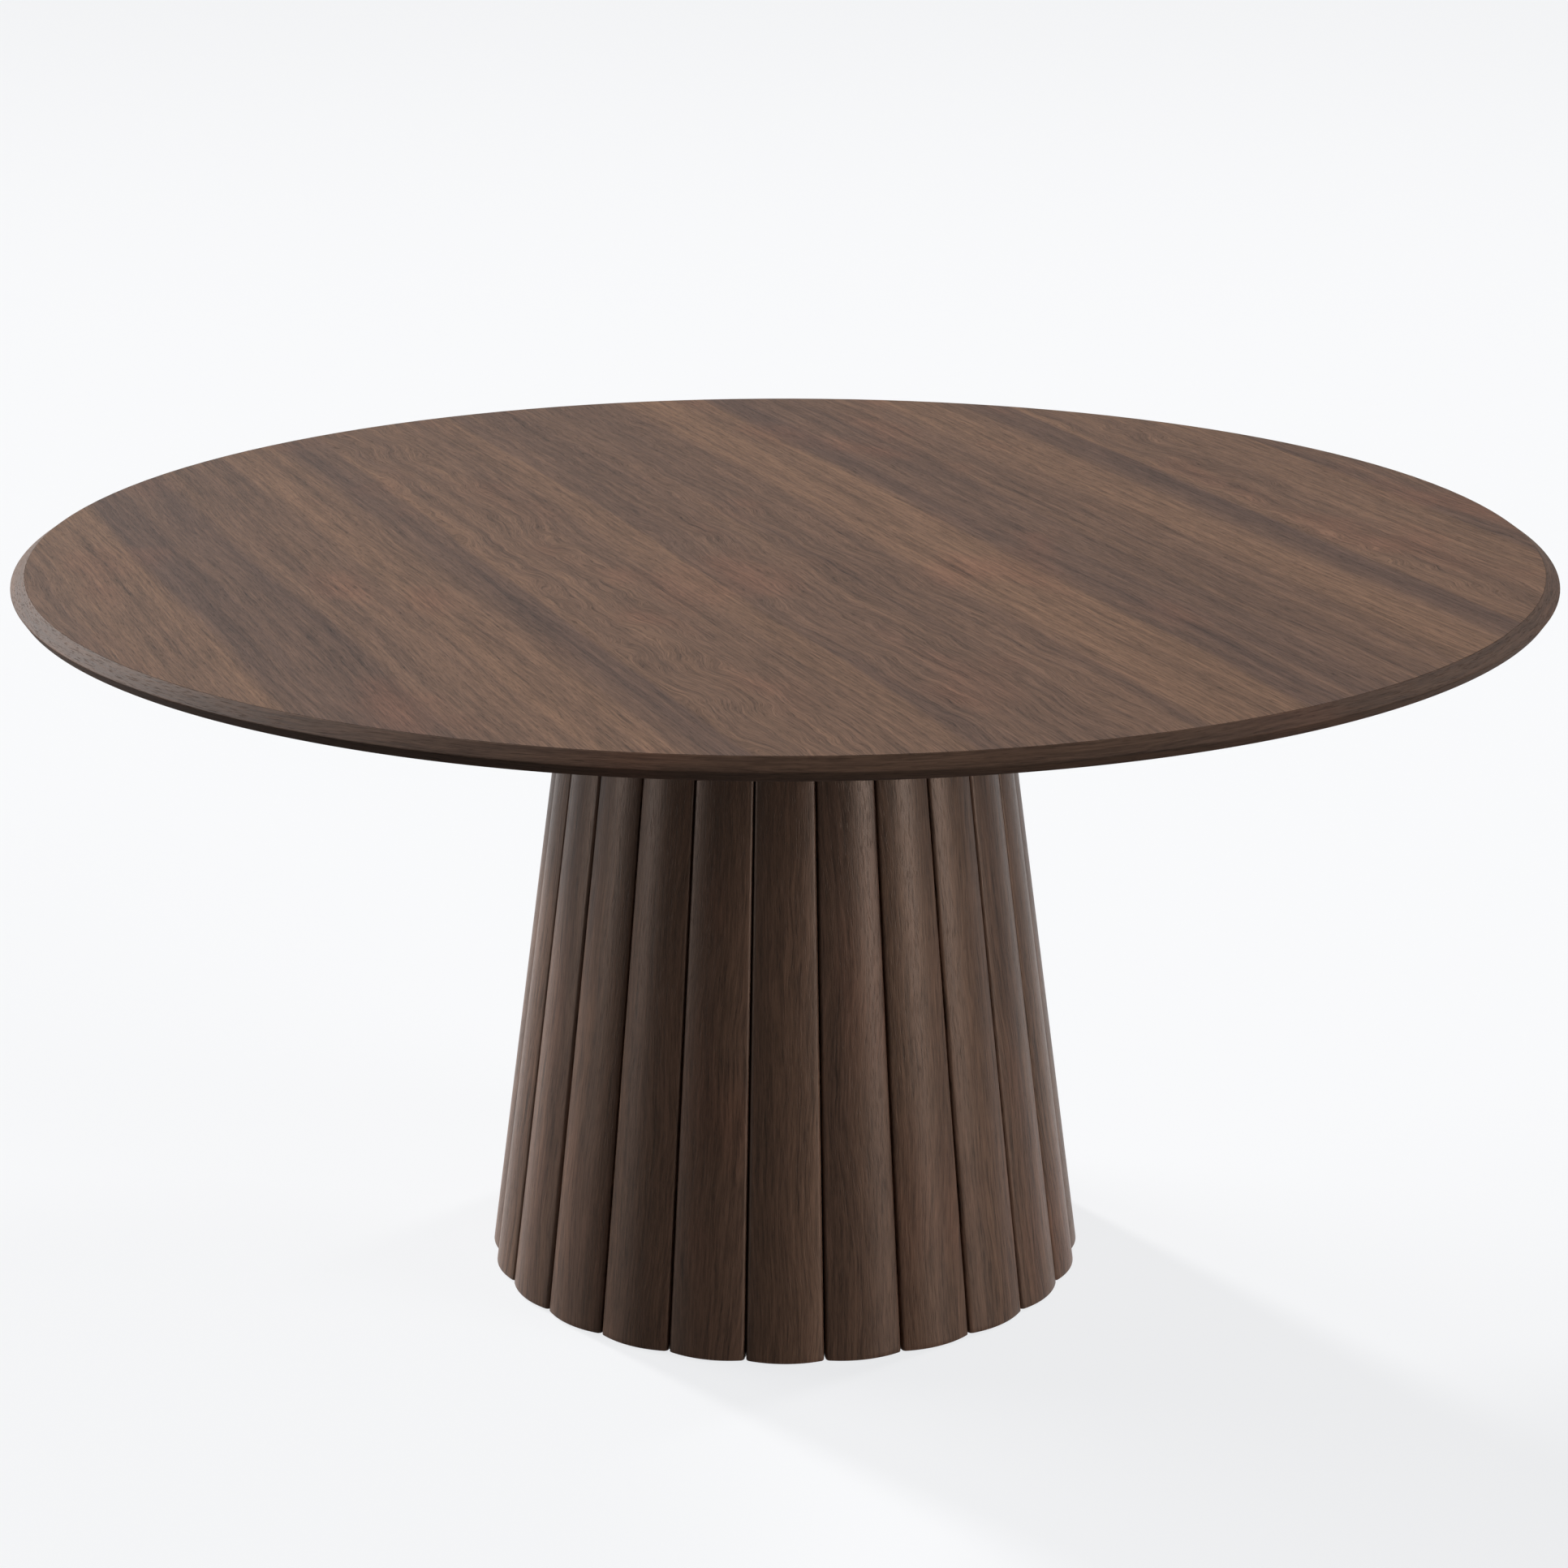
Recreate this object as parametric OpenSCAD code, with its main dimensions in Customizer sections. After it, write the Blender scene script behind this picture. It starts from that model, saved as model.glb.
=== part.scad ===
// Round dining table with a tilting top on a wide fluted pedestal.
// Millimetres, +Z up, origin at the floor under the middle of the table, front towards -Y.

/* [Table top] */
// Diameter over the outermost edge of the top
top_d = 1500; // [1300:10:1600]
// Height of the top face above the floor
table_h = 745; // [720:5:770]
// Thickness of the top
top_t = 19; // [18:1:26]
// Width of the upper bevel, which is also the width of the solid lipping
lipping_w = 14; // [10:0.5:20]
// Height of the upper bevel
face_bevel_h = 10; // [5:0.5:14]
// How far the lower bevel runs in under the outer edge
under_bevel_w = 6; // [2:0.5:8]

/* [Stiffener bars] */
// Width of each flat bar let into the underside
bar_w = 40; // [25:1:60]
// Thickness of each bar
bar_t = 8; // [4:0.5:10]
// Length of each bar
bar_l = 1100; // [800:10:1150]
// Distance of each bar from the middle of the top
bar_y = 300; // [240:5:340]

/* [Pedestal] */
// Diameter over the flute crowns at the floor
foot_d = 608; // [580:2:620]
// Diameter over the flute crowns at the head of the pedestal
head_d = 424; // [400:2:440]
// Open height between the pedestal head and the underside of the top
reveal = 54; // [52:1:64]
// Number of flutes, one to each stave
flute_n = 24; // [18:2:26]
// Depth of the valleys between the flutes, at the floor
flute_depth = 5.75; // [3:0.25:9]
// Thickness of a stave at its crown, at the floor
stave_t = 26; // [20:1:32]
// Height of the small bevel round the foot of each stave
foot_bevel = 1.5; // [0.5:0.5:3]
// Wall of the conical core shell that the staves are glued to
shell_t = 9; // [6:0.5:14]
// Thickness of the base board
base_t = 18; // [15:1:25]
// Thickness of the cap board
cap_t = 18; // [15:1:25]
// Thickness of the middle rib
rib_t = 18; // [12:1:25]
// Height of the middle rib's lower face above the floor
rib_z = 330; // [200:10:450]
// Diameter of the hole in the middle of the rib
rib_hole_d = 120; // [60:5:140]
// Width of each square inner post
post_w = 45; // [35:1:50]
// Distance of each post's centre line from the middle planes
post_xy = 95; // [88:1:98]

/* [Ballast and floor pads] */
// Gap from the steel ballast ring to the shell outside it and to the posts inside it
ballast_gap = 9; // [4:1:20]
// Thickness of the ballast ring
ballast_t = 12; // [6:1:20]
// Diameter of each felt floor pad
pad_d = 36; // [25:1:45]
// Thickness of each floor pad
pad_t = 2; // [1.5:0.5:4]
// Radius of the circle that the floor pads stand on
pad_ring_r = 240; // [200:5:245]
// Number of floor pads
pad_n = 8; // [4:1:12]

/* [Head block and pivot] */
// Width of the head block
block_w = 170; // [160:2:174]
// Distance from the middle of the table to the front of the block
block_front = 160; // [145:5:165]
// Distance from the middle of the table back to the pivot axis
pivot_y = 195; // [193:1:200]
// Height of the pivot axis above the pedestal head
pivot_rise = 18; // [17:0.5:20]
// Radius of the block's rounded nose round the pivot
nose_r = 22; // [18:1:26]
// Length of the slope that runs down from the block's top to its nose
block_slope = 25; // [15:1:40]
// Diameter of the pivot rod
rod_d = 10; // [8:1:12]
// Wall of the flanged pivot bush
bush_wall = 2; // [1.5:0.5:2.5]
// Thickness of the bush flange between the block and the bearer
bush_flange_t = 1.5; // [1:0.5:3]
// Diameter of each felt rest pad on the block
rest_pad_d = 20; // [15:1:30]
// Thickness of each rest pad
rest_pad_t = 2; // [1:0.5:3]

/* [Bearers and buffers] */
// Width of each bearer
bearer_w = 36; // [28:1:45]
// Full depth of each bearer
bearer_h = 50; // [48:1:50]
// Distance from the middle of the table to the bearers' front ends
bearer_front = 430; // [380:5:450]
// Distance from the middle of the table to the bearers' back ends
bearer_back = 475; // [440:5:490]
// Depth left at the thin ends of the bearers
bearer_tip_h = 24; // [23:0.5:26]
// Length of the taper at the front end
bearer_taper = 130; // [60:5:160]
// Diameter of each rubber tilt buffer
buffer_d = 22; // [15:1:30]
// Height of each buffer, which sets how far the top tilts
buffer_h = 17.5; // [12:0.5:24]
// Distance of the buffers behind the pivot axis
buffer_back = 380; // [340:5:420]

/* [Catch] */
// Side of the square catch bolt
bolt_w = 12; // [10:0.5:14]
// Length of the catch bolt
bolt_l = 78; // [70:1:90]
// Travel of the catch bolt
bolt_travel = 12; // [9:0.5:13]
// Thickness of the keeper, from front to back
keeper_t = 14; // [13:0.5:18]
// Width of the keeper
keeper_w = 44; // [40:1:60]
// Height of the keeper
keeper_h = 27; // [25:1:32]
// Width of the catch case's body
case_w = 30; // [24:1:36]
// Width over the case's screwed flanges
flange_w = 60; // [54:1:74]
// Thickness of the flanges
flange_t = 3; // [2:0.5:4]
// Metal between the bolt and the underside of the case, and between it and the flange
case_wall = 4; // [3:0.5:6]
// Diameter of the catch knob
knob_d = 18; // [12:1:22]
// Diameter of the knob's neck, which runs in the slot of the case
neck_d = 8; // [6:0.5:9]
// Thickness of the leaf that keeps the bolt from sliding by itself
leaf_t = 0.5; // [0.3:0.1:0.8]

/* [Fasteners] */
// Diameter of the bolts in the head block and the ballast ring
m_bolt_d = 8; // [6:1:10]
// Length of the block bolts under the head
block_bolt_l = 54; // [45:1:60]
// Diameter of the wood screws
screw_d = 4; // [3:0.5:5]
// Diameter of the wood screws' heads
screw_head_d = 8; // [7:0.5:9]

/* [Hidden] */
$fn = 96;
glue_gap = 0.2;       // between parts that are glued face to face on a curve
slide_gap = 0.3;      // between parts that slide or rest on each other
run_gap = 0.05;       // radial, between the rod and its bores
hole_gap = 0.3;       // radial, round a bolt's shank
thread_gap = 0.02;    // radial, round the bite of a wood screw
keeper_gap = 0.6;     // each side of the bolt in its keeper
stave_gap = 0.1;      // glue line between two staves
over = 1;             // how far a cut runs past the face that it opens

top_r = top_d / 2;
panel_r = top_r - lipping_w;
under_z = table_h - top_t;
ped_top = under_z - reveal;
foot_r = foot_d / 2;
taper = (1 - head_d / foot_d) / ped_top;
apex_z = 1 / taper;
flute_pitch = 360 / flute_n;
valley_r = foot_r - flute_depth;
flute_half_w = valley_r * sin(flute_pitch / 2);
flute_rise = foot_r - valley_r * cos(flute_pitch / 2);
flute_r = (flute_half_w * flute_half_w + flute_rise * flute_rise) / (2 * flute_rise);
flute_c = foot_r - flute_r;
flute_lean = atan(flute_c / apex_z);
flute_spread = atan(foot_r / apex_z) - flute_lean;

base_top = pad_t + base_t;
cap_z = ped_top - cap_t;
pivot_z = ped_top + pivot_rise;
block_top = under_z - rest_pad_t - slide_gap;
block_bolt_xy = [50, 110];
rest_pad_xy = [60, 130];
post_screw_l = 45;
ballast_screw_l = 26;
ballast_screw_n = 4;
head_h = 5.3;         // height of a bolt's hexagonal head
head_af = 13;         // and its width across the flats
ballast_or = at_height(foot_r - stave_t, base_top + ballast_t) - glue_gap - shell_t - ballast_gap;
ballast_ir = (post_xy + post_w / 2) * sqrt(2) + ballast_gap;
ballast_ring_r = (ballast_or + ballast_ir) / 2;
washer_d = 16;
washer_t = 1.6;
screw_head_h = 3;
grip_h = 18;          // wood between a bearer screw's head and the panel
bite_h = 13;          // how far the bearer screws reach into the panel
bearer_screw_y = [-390, -210, 60, 400];
bar_bite_h = 6;       // how far the bar screws reach into the panel
bar_screw_x = [-480, 0, 480];

bush_r = rod_d / 2 + bush_wall;
bush_flange_lip = 4;  // how far the flange stands out round the bush
bush_flange_r = bush_r + bush_flange_lip;
bearer_x = block_w / 2 + bush_flange_t + slide_gap;
bearer_end_r = bearer_h - (under_z - pivot_z);
tail_rise = 1;        // the tail starts just above the axis, to swing clear of the pedestal
tail_z = pivot_z + tail_rise;
rod_washer_t = 2;
rod_washer_d = 21;
rod_nut_h = 8;
rod_nut_af = 17;
rod_tail = 2;         // rod left standing beyond each nut
rod_end = bearer_x + bearer_w + slide_gap + rod_washer_t + rod_nut_h + rod_tail;

bolt_z = under_z - flange_t - case_wall - bolt_w / 2;
keeper_front = -block_front - keeper_t;
tip_gap = 1.5;        // between the keeper and the tip of the drawn-back bolt
case_gap = 4;         // between the keeper and the case
case_end_t = 5;       // metal in front of the bolt, at the closed end of the case
bolt_tip = keeper_front - tip_gap;
case_back = keeper_front - case_gap;
case_front = bolt_tip - bolt_l - case_end_t;
case_bottom = bolt_z - bolt_w / 2 - case_wall;
neck_y = bolt_tip - bolt_l / 2 - bolt_travel / 2;
knob_drop = 6;        // from the case down to the middle of the knob
knob_z = case_bottom - slide_gap - knob_drop;
catch_screw_inset = 12;
catch_screw_y = [case_back - catch_screw_inset, case_front + catch_screw_inset];
flange_edge = 6;      // from the flange's edge to its screws
catch_screw_x = flange_w / 2 - flange_edge;
catch_bite_h = 10;
keeper_edge = 7;      // from the keeper's edge to its screws
keeper_screw_x = keeper_w / 2 - keeper_edge;
keeper_bite = 20;
keeper_top = block_top;
leaf_l = 40;
leaf_rise = 3;
leaf_side_gap = 2;    // each side of the leaf in its pocket
cone_margin = 20;     // how far the flute cones run past both ends of a stave

walnut = [0.27, 0.20, 0.17];
dark_walnut = [0.20, 0.15, 0.12];
plywood = [0.72, 0.60, 0.44];
steel = [0.55, 0.56, 0.58];
brass = [0.72, 0.58, 0.32];
felt = [0.25, 0.24, 0.23];
rubber = [0.08, 0.08, 0.08];

function stave_name(i) = str("stave_", i < 10 ? "0" : "", i);
// Radius that shrinks with height in step with the pedestal, from its value at the floor
function at_height(r, z) = r * (1 - taper * z);

// ---- shapes that several pieces share ----

// A solid slice of a cone that leans with the pedestal, between two heights
module cone_slice(r, z1, z2, inset = 0) {
  translate([0, 0, z1])
    cylinder(h = z2 - z1, r1 = at_height(r, z1) - inset, r2 = at_height(r, z2) - inset);
}

module at_four(xy) {
  for (sx = [-1, 1], sy = [-1, 1]) translate([sx * xy[0], sy * xy[1], 0]) children();
}

module at_ring(r, n) {
  for (i = [0:n - 1]) rotate([0, 0, i * 360 / n]) translate([0, -r, 0]) children();
}

module hex_bolt(d, l) {
  cylinder(h = l, d = d);
  translate([0, 0, -head_h]) cylinder(h = head_h, d = head_af / cos(30), $fn = 6);
}

// A flat-headed wood screw that points up from its head's lower face
module wood_screw(l) {
  cylinder(h = screw_head_h, d = screw_head_d);
  translate([0, 0, screw_head_h]) cylinder(h = l - screw_head_h, d = screw_d);
}

// The hole for a wood screw: a pocket for the head, then a shank hole
module screw_hole(l, pocket = 0) {
  translate([0, 0, -pocket]) cylinder(h = screw_head_h + pocket + thread_gap, d = screw_head_d + 2 * slide_gap);
  cylinder(h = l + slide_gap, d = screw_d + 2 * thread_gap);
}

// ---- the top ----

module at_bearer_screws() {
  for (sx = [-1, 1], y = bearer_screw_y)
    translate([sx * (bearer_x + bearer_w / 2), y, under_z - grip_h - screw_head_h]) children();
}

module at_bar_screws() {
  for (sy = [-1, 1], x = bar_screw_x) translate([x, sy * bar_y, under_z]) children();
}

module at_catch_screws() {
  for (sx = [-1, 1], y = catch_screw_y)
    translate([sx * catch_screw_x, y, under_z - flange_t - screw_head_h]) children();
}

bearer_screw_l = screw_head_h + grip_h + bite_h;
bar_screw_l = bar_t + bar_bite_h;
catch_screw_l = screw_head_h + flange_t + catch_bite_h;

module top_panel() {
  color(walnut) difference() {
    translate([0, 0, under_z]) cylinder(h = top_t, r = panel_r - glue_gap / 4, $fn = 256);
    for (sy = [-1, 1])
      translate([-bar_l / 2 - slide_gap, sy * bar_y - bar_w / 2 - slide_gap, under_z - over])
        cube([bar_l + 2 * slide_gap, bar_w + 2 * slide_gap, bar_t + glue_gap + over]);
    at_bearer_screws() screw_hole(bearer_screw_l);
    at_bar_screws() screw_hole(bar_screw_l);
    at_catch_screws() screw_hole(catch_screw_l);
  }
}

module top_lipping() {
  color(walnut) rotate_extrude($fn = 256)
    polygon([[panel_r, under_z], [top_r - under_bevel_w, under_z],
             [top_r, table_h - face_bevel_h], [panel_r, table_h]]);
}

module stiffener(side) {
  color(steel) difference() {
    translate([-bar_l / 2, side * bar_y - bar_w / 2, under_z]) cube([bar_l, bar_w, bar_t]);
    at_bar_screws() screw_hole(bar_screw_l, over);
  }
}

module stiffener_screws() {
  color(steel) at_bar_screws() wood_screw(bar_screw_l);
}

module bearer_outline() {
  polygon([[-bearer_front, under_z], [-bearer_front, under_z - bearer_tip_h],
           [-bearer_front + bearer_taper, under_z - bearer_h], [pivot_y, under_z - bearer_h],
           [pivot_y, tail_z], [bearer_back, under_z - bearer_tip_h], [bearer_back, under_z]]);
  translate([pivot_y, pivot_z]) circle(r = bearer_end_r);
}

module bearer(side) {
  color(dark_walnut) difference() {
    mirror([side < 0 ? 1 : 0, 0, 0]) translate([bearer_x, 0, 0])
      rotate([90, 0, 90]) linear_extrude(bearer_w) bearer_outline();
    along_pivot(-rod_end, rod_end) circle(r = bush_r + glue_gap / 4);
    at_bearer_screws() screw_hole(bearer_screw_l, bearer_h);
  }
}

module bearer_screws() {
  color(steel) at_bearer_screws() wood_screw(bearer_screw_l);
}

module tilt_buffers() {
  color(rubber) for (sx = [-1, 1])
    translate([sx * buffer_x, pivot_y + buffer_back, under_z - buffer_h]) intersection() {
      cylinder(h = buffer_h, d = buffer_d);
      translate([0, 0, buffer_d / 2]) {
        cylinder(h = buffer_h, d = buffer_d);
        sphere(d = buffer_d);
      }
    }
}

// At full tilt, 84 degrees, the buffers' domes meet the crowns of the two staves beside the back one
buffer_x = at_height(foot_r, pivot_z - buffer_back) * sin(flute_pitch);

// ---- the pivot ----

module along_pivot(x1, x2) {
  translate([x1, pivot_y, pivot_z]) rotate([90, 0, 90]) linear_extrude(x2 - x1) children();
}

module pivot_bush(side) {
  color(brass) mirror([side < 0 ? 1 : 0, 0, 0]) difference() {
    union() {
      along_pivot(bearer_x, bearer_x + bearer_w) circle(r = bush_r);
      along_pivot(bearer_x - bush_flange_t, bearer_x) circle(r = bush_flange_r);
    }
    along_pivot(0, rod_end) circle(r = rod_d / 2 + run_gap);
  }
}

module pivot_rod() {
  color(steel) along_pivot(-rod_end, rod_end) circle(d = rod_d);
}

module pivot_washers() {
  color(steel) for (side = [0, 1]) mirror([side, 0, 0])
    along_pivot(bearer_x + bearer_w + slide_gap, bearer_x + bearer_w + slide_gap + rod_washer_t)
      difference() {
        circle(d = rod_washer_d);
        circle(r = rod_d / 2 + run_gap);
      }
}

module pivot_nuts() {
  color(steel) for (side = [0, 1]) mirror([side, 0, 0])
    along_pivot(rod_end - rod_nut_h - rod_tail, rod_end - rod_tail) difference() {
      circle(d = rod_nut_af / cos(30), $fn = 6);
      circle(r = rod_d / 2 + run_gap);
    }
}

// ---- the catch ----

module square_along_y(y1, y2, w) {
  translate([-w / 2, y1, bolt_z - w / 2]) cube([w, y2 - y1, w]);
}

module catch_case() {
  slot_back = neck_y + neck_d / 2 + bolt_travel + slide_gap;
  slot_front = neck_y - neck_d / 2 - slide_gap;
  color(brass) difference() {
    union() {
      translate([-case_w / 2, case_front, case_bottom])
        cube([case_w, case_back - case_front, under_z - case_bottom]);
      translate([-flange_w / 2, case_front, under_z - flange_t])
        cube([flange_w, case_back - case_front, flange_t]);
    }
    square_along_y(bolt_tip - bolt_l - slide_gap, case_back + over, bolt_w + 2 * slide_gap);
    translate([-neck_d / 2 - slide_gap, slot_front, case_bottom - over])
      cube([neck_d + 2 * slide_gap, slot_back - slot_front, case_wall + 2 * over]);
    translate([-bolt_w / 2, neck_y - leaf_l / 2 - over, bolt_z])
      cube([bolt_w, leaf_l + 2 * over, bolt_w / 2 + leaf_rise + slide_gap]);
    at_catch_screws() screw_hole(catch_screw_l, over);
  }
}

module catch_screws() {
  color(brass) at_catch_screws() wood_screw(catch_screw_l);
}

// A bowed strip that presses on the bolt: a thin slice of a tube
module catch_leaf() {
  leaf_r = (leaf_l * leaf_l / 4 + leaf_rise * leaf_rise) / (2 * leaf_rise);
  leaf_low = bolt_z + bolt_w / 2 + slide_gap / 3;
  color(steel) intersection() {
    translate([-bolt_w / 2 + leaf_side_gap, neck_y, leaf_low + leaf_r]) rotate([0, 90, 0]) difference() {
      cylinder(h = bolt_w - 2 * leaf_side_gap, r = leaf_r, $fn = 256);
      translate([0, 0, -over]) cylinder(h = bolt_w, r = leaf_r - leaf_t, $fn = 256);
    }
    translate([-bolt_w / 2, neck_y - leaf_l / 2, leaf_low - over])
      cube([bolt_w, leaf_l, leaf_rise + over]);
  }
}

module catch_bolt() {
  color(steel) difference() {
    square_along_y(bolt_tip - bolt_l, bolt_tip, bolt_w);
    translate([0, neck_y, bolt_z - bolt_w / 2 - over])
      cylinder(h = bolt_w / 2 + over, d = neck_d / 2 + 2 * thread_gap);
  }
}

module catch_knob() {
  neck_top = bolt_z - bolt_w / 2;
  color(brass) translate([0, neck_y, 0]) {
    translate([0, 0, neck_top]) cylinder(h = bolt_w / 2 - slide_gap, d = neck_d / 2);
    translate([0, 0, knob_z]) cylinder(h = neck_top - knob_z, d = neck_d);
    difference() {
      translate([0, 0, knob_z]) sphere(d = knob_d);
      translate([-knob_d, -knob_d, case_bottom - slide_gap]) cube(2 * knob_d);
    }
  }
}

module at_keeper_screws(y) {
  for (sx = [-1, 1]) translate([sx * keeper_screw_x, y, bolt_z]) rotate([-90, 0, 0]) children();
}

keeper_screw_l = keeper_t + keeper_bite;

module catch_keeper() {
  color(brass) difference() {
    translate([-keeper_w / 2, keeper_front, keeper_top - keeper_h]) cube([keeper_w, keeper_t, keeper_h]);
    square_along_y(keeper_front - over, -block_front + over, bolt_w + 2 * keeper_gap);
    at_keeper_screws(keeper_front) screw_hole(keeper_screw_l, over);
  }
}

module keeper_screws() {
  color(brass) at_keeper_screws(keeper_front) wood_screw(keeper_screw_l);
}

// ---- the pedestal head ----

module head_block() {
  color(dark_walnut) difference() {
    translate([-block_w / 2, 0, 0]) rotate([90, 0, 90]) linear_extrude(block_w) {
      polygon([[-block_front, ped_top], [pivot_y, ped_top], [pivot_y, pivot_z + nose_r],
               [pivot_y - block_slope, block_top], [-block_front, block_top]]);
      intersection() {
        translate([pivot_y, pivot_z]) circle(r = nose_r);
        translate([pivot_y - nose_r, ped_top]) square([2 * nose_r, 2 * nose_r]);
      }
    }
    along_pivot(-block_w, block_w) circle(r = rod_d / 2 + run_gap);
    at_four(block_bolt_xy) translate([0, 0, ped_top - over])
      cylinder(h = block_bolt_l - cap_t - washer_t + 2 * over, r = m_bolt_d / 2 + run_gap);
    at_keeper_screws(keeper_front) screw_hole(keeper_screw_l);
  }
}

module rest_pads() {
  color(felt) for (sx = [-1, 1], sy = [-1, 1])
    translate([sx * rest_pad_xy[0], sy * rest_pad_xy[1], block_top])
      cylinder(h = rest_pad_t, d = rest_pad_d);
}

module block_bolts() {
  color(steel) at_four(block_bolt_xy) translate([0, 0, cap_z - washer_t]) hex_bolt(m_bolt_d, block_bolt_l);
}

module block_washers() {
  color(steel) at_four(block_bolt_xy) translate([0, 0, cap_z - washer_t]) difference() {
    cylinder(h = washer_t, d = washer_d);
    translate([0, 0, -over]) cylinder(h = washer_t + 2 * over, r = m_bolt_d / 2 + hole_gap);
  }
}

module cap_board() {
  color(dark_walnut) difference() {
    cone_slice(foot_r - stave_t, cap_z, ped_top, glue_gap);
    at_four(block_bolt_xy) translate([0, 0, cap_z - over])
      cylinder(h = cap_t + 2 * over, r = m_bolt_d / 2 + hole_gap);
    cap_screws() screw_hole(post_screw_l, over);
  }
}

// The screws into the posts point down from the cap board and up from the base board
module cap_screws() {
  at_four([post_xy, post_xy]) translate([0, 0, ped_top]) mirror([0, 0, 1]) children();
}

module base_screws() {
  at_four([post_xy, post_xy]) translate([0, 0, pad_t]) children();
}

module post_screws() {
  color(steel) {
    cap_screws() wood_screw(post_screw_l);
    base_screws() wood_screw(post_screw_l);
  }
}

// ---- inside and under the pedestal ----

module core_shell() {
  core_r = foot_r - stave_t;
  color(plywood) difference() {
    cone_slice(core_r, base_top, cap_z, glue_gap);
    cone_slice(core_r, base_top - over, cap_z + over, glue_gap + shell_t);
  }
}

module middle_rib() {
  color(plywood) difference() {
    cone_slice(foot_r - stave_t, rib_z, rib_z + rib_t, 2 * glue_gap + shell_t);
    translate([0, 0, rib_z - over]) {
      cylinder(h = rib_t + 2 * over, d = rib_hole_d);
      at_four([post_xy, post_xy]) translate([-post_w / 2 - slide_gap, -post_w / 2 - slide_gap, 0])
        cube([post_w + 2 * slide_gap, post_w + 2 * slide_gap, rib_t + 2 * over]);
    }
  }
}

module inner_posts() {
  color(plywood) difference() {
    at_four([post_xy, post_xy]) translate([-post_w / 2, -post_w / 2, base_top])
      cube([post_w, post_w, cap_z - base_top]);
    cap_screws() screw_hole(post_screw_l);
    base_screws() screw_hole(post_screw_l);
  }
}

module base_board() {
  color(plywood) difference() {
    cone_slice(foot_r - stave_t, pad_t, base_top, glue_gap);
    base_screws() screw_hole(post_screw_l, over);
    at_ring(ballast_ring_r, ballast_screw_n)
      translate([0, 0, base_top + ballast_t - ballast_screw_l])
        cylinder(h = ballast_screw_l, r = m_bolt_d / 2 + thread_gap);
  }
}

module ballast_ring() {
  color(steel) translate([0, 0, base_top]) difference() {
    cylinder(h = ballast_t, r = ballast_or);
    translate([0, 0, -over]) cylinder(h = ballast_t + 2 * over, r = ballast_ir);
    at_ring(ballast_ring_r, ballast_screw_n) translate([0, 0, -over])
      cylinder(h = ballast_t + 2 * over, r = m_bolt_d / 2 + hole_gap);
  }
}

module ballast_screws() {
  color(steel) at_ring(ballast_ring_r, ballast_screw_n)
    translate([0, 0, base_top + ballast_t]) mirror([0, 0, 1]) hex_bolt(m_bolt_d, ballast_screw_l - slide_gap);
}

module floor_pads() {
  color(felt) at_ring(pad_ring_r, pad_n) cylinder(h = pad_t, d = pad_d);
}

// ---- the staves ----

// The round face of a flute: a cone that leans in to the same apex as the whole pedestal
module flute_cone() {
  near = (apex_z - ped_top - cone_margin) / cos(flute_lean);
  far = (apex_z + cone_margin) / cos(flute_lean);
  translate([0, 0, apex_z]) rotate([180 - flute_lean, 0, 0]) translate([0, 0, near])
    cylinder(h = far - near, r1 = near * tan(flute_spread), r2 = far * tan(flute_spread));
}

module stave(i) {
  wedge_l = foot_r * 1.2;
  wedge_half = wedge_l * tan(flute_pitch / 2);
  color(walnut) rotate([0, 0, (i - 1) * flute_pitch]) difference() {
    intersection() {
      flute_cone();
      translate([0, -stave_gap / 2 / sin(flute_pitch / 2), pad_t]) linear_extrude(ped_top - pad_t)
        polygon([[0, 0], [-wedge_half, -wedge_l], [wedge_half, -wedge_l]]);
      translate([0, -flute_c, pad_t]) cylinder(h = ped_top, r1 = flute_r - foot_bevel,
                                               r2 = flute_r - foot_bevel + ped_top);
    }
    cone_slice(foot_r - stave_t, pad_t - over, ped_top + over);
  }
}

top_panel();
top_lipping();
stiffener(-1);  // stiffener_front
stiffener(1);  // stiffener_back
stiffener_screws();
bearer(-1);  // bearer_left
bearer(1);  // bearer_right
bearer_screws();
pivot_bush(-1);  // pivot_bush_left
pivot_bush(1);  // pivot_bush_right
tilt_buffers();
catch_case();
catch_screws();
catch_leaf();
catch_bolt();
catch_knob();
head_block();
rest_pads();
pivot_rod();
pivot_washers();
pivot_nuts();
catch_keeper();
keeper_screws();
block_bolts();
block_washers();
cap_board();
post_screws();
core_shell();
middle_rib();
inner_posts();
base_board();
ballast_ring();
ballast_screws();
floor_pads();
for (i = [1:flute_n]) stave(i);
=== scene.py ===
from math import asin, cos, pi, radians, sin
import bmesh
import bpy
from mathutils import Matrix, Vector


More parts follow.
